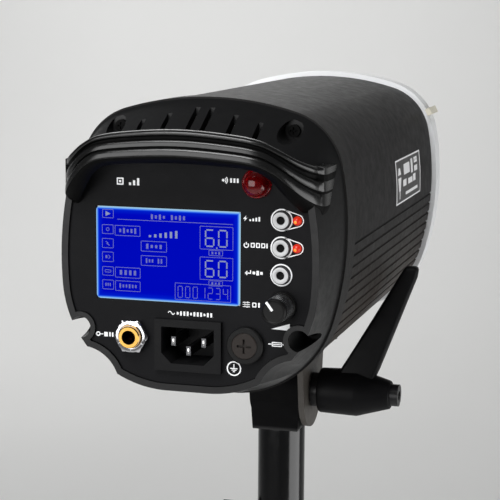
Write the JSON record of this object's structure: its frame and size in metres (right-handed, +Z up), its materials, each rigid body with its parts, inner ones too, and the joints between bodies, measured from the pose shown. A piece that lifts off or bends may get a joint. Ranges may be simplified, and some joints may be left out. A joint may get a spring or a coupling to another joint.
{
  "type": "monolight strobe",
  "caption": "Studio flash head: ribbed rounded housing, rear control panel under an arched handle, ring tube and lamp in front, tilting bracket with clamping lever and stand socket.",
  "frame": {"origin": "centre of the mouth of the stand socket", "axes": "+Z up along the stand socket's axis, +Y the way the flash fires, +X to the right seen from behind"},
  "size_m": [0.1397, 0.3, 0.2526],
  "materials": {
    "shell_paint": "satin, fine texture",
    "cover_plastic": "satin gloss",
    "collar_plastic": "matte",
    "panel_paint": "matte, fine grain",
    "handle_plastic": "satin",
    "ring_silver": "satin",
    "seal_rubber": "matte",
    "latch_plastic": "satin",
    "screen_clear": "gloss",
    "screen_module": "matte",
    "board_green": "satin",
    "white_plastic": "satin",
    "button_metal": "satin",
    "led_red": "emissive",
    "dome_red": "translucent gloss",
    "sensor_dark": "gloss",
    "knob_plastic": "matte",
    "steel": "satin",
    "bright_steel": "polished",
    "gold_brass": "polished",
    "fuse_plastic": "satin",
    "fuse_glass": "clear",
    "inlet_plastic": "matte",
    "chassis_metal": "zinc plated",
    "fan_plastic": "matte",
    "capacitor_sleeve": "shrink sleeve",
    "cradle_plastic": "matte",
    "heat_sink_metal": "anodised",
    "coil_block": "varnished",
    "pan_metal": "bright satin",
    "mount_metal": "machined",
    "tube_glass": "clear",
    "ceramic_white": "matte",
    "lamp_glass": "frosted",
    "bracket_paint": "satin",
    "sleeve_black": "gloss",
    "lever_plastic": "matte",
    "black_oxide": "black oxide"
  },
  "bodies": {
    "root": {"stand_adapter": "sleeve_black", "tilt_bolt": "steel", "tilt_washer": "steel"},
    "head": {"body_shell": "shell_paint", "rear_collar": "collar_plastic", "rear_cover": "cover_plastic", "control_panel": "panel_paint", "carry_handle": "handle_plastic", "handle_screws": "black_oxide", "lcd_window": "screen_clear", "lcd_module": "screen_module", "control_board": "board_green", "board_standoffs": "steel", "button_switches": "white_plastic", "test_led": "led_red", "power_led": "led_red", "mode_encoder": "steel", "sync_jack": "gold_brass", "sync_nut": "bright_steel", "fuse_holder": "knob_plastic", "glass_fuse": "fuse_glass", "mains_inlet": "inlet_plastic", "inlet_pins": "bright_steel", "cell_dome": "dome_red", "cell_sensor": "sensor_dark", "cover_posts": "steel", "cover_screws": "black_oxide", "chassis": "chassis_metal", "fan_frame": "fan_plastic", "flash_capacitor_1": "capacitor_sleeve", "flash_capacitor_2": "capacitor_sleeve", "flash_capacitor_3": "capacitor_sleeve", "flash_capacitor_4": "capacitor_sleeve", "capacitor_cradle": "cradle_plastic", "main_board": "board_green", "heat_sink": "heat_sink_metal", "trigger_coil": "coil_block", "front_plate": "chassis_metal", "front_ring": "ring_silver", "front_seal": "seal_rubber", "reflector_mount": "mount_metal", "lamp_pan": "pan_metal", "flash_tube": "tube_glass", "tube_sockets": "ceramic_white", "modelling_lamp": "lamp_glass", "lamp_socket": "ceramic_white", "bracket_yoke": "bracket_paint", "bracket_screws": "steel"},
    "lever_insert": {"lever_insert": "black_oxide", "lever_screw": "black_oxide"},
    "lever": {"tilt_lever": "lever_plastic"},
    "stand_lock": {"lock_screw": "steel", "lock_knob": "lever_plastic"},
    "test_button": {"test_button": "button_metal"},
    "power_button": {"power_button": "button_metal"},
    "enter_button": {"enter_button": "button_metal"},
    "mode_knob": {"mode_knob": "knob_plastic"},
    "fuse_cap": {"fuse_cap": "fuse_plastic"},
    "release_latch": {"release_latch": "latch_plastic"},
    "fan_rotor": {"fan_rotor": "fan_plastic"}
  },
  "joints": [
    {"name": "head_tilt", "type": "hinge", "parent": "root", "child": "head", "pos_m": [0, 0, 0.0865], "axis": [1, 0, 0], "range_deg": [-90, 90]},
    {"name": "lever_turn", "type": "hinge", "parent": "root", "child": "lever_insert", "pos_m": [0, 0, 0.0865], "axis": [1, 0, 0], "range_deg": [-60, 120]},
    {"name": "lever_pull", "type": "slide", "parent": "lever_insert", "child": "lever", "axis": [1, 0, 0], "range_m": [0, 0.0035], "stiffness_N_per_m": 900, "springref_m": -0.001},
    {"name": "stand_lock_turn", "type": "hinge", "parent": "root", "child": "stand_lock", "pos_m": [-0.02, 0, 0.01], "axis": [-1, 0, 0], "continuous": true},
    {"name": "test_press", "type": "slide", "parent": "head", "child": "test_button", "axis": [0, 1, 0], "range_m": [0, 0.0008], "stiffness_N_per_m": 900, "springref_m": -0.0005},
    {"name": "power_press", "type": "slide", "parent": "head", "child": "power_button", "axis": [0, 1, 0], "range_m": [0, 0.0008], "stiffness_N_per_m": 900, "springref_m": -0.0005},
    {"name": "enter_press", "type": "slide", "parent": "head", "child": "enter_button", "axis": [0, 1, 0], "range_m": [0, 0.0008], "stiffness_N_per_m": 900, "springref_m": -0.0005},
    {"name": "mode_turn", "type": "hinge", "parent": "head", "child": "mode_knob", "pos_m": [0.043, -0.169, 0.1637], "axis": [0, -1, 0], "continuous": true},
    {"name": "fuse_cap_turn", "type": "hinge", "parent": "head", "child": "fuse_cap", "pos_m": [0.0266, -0.162, 0.1451], "axis": [0, -1, 0], "range_deg": [0, 60]},
    {"name": "latch_slide", "type": "slide", "parent": "head", "child": "release_latch", "axis": [0, -1, 0], "range_m": [0, 0.004], "stiffness_N_per_m": 500, "springref_m": -0.001},
    {"name": "fan_spin", "type": "hinge", "parent": "head", "child": "fan_rotor", "pos_m": [0, -0.097, 0.187], "axis": [0, 1, 0], "continuous": true}
  ]
}
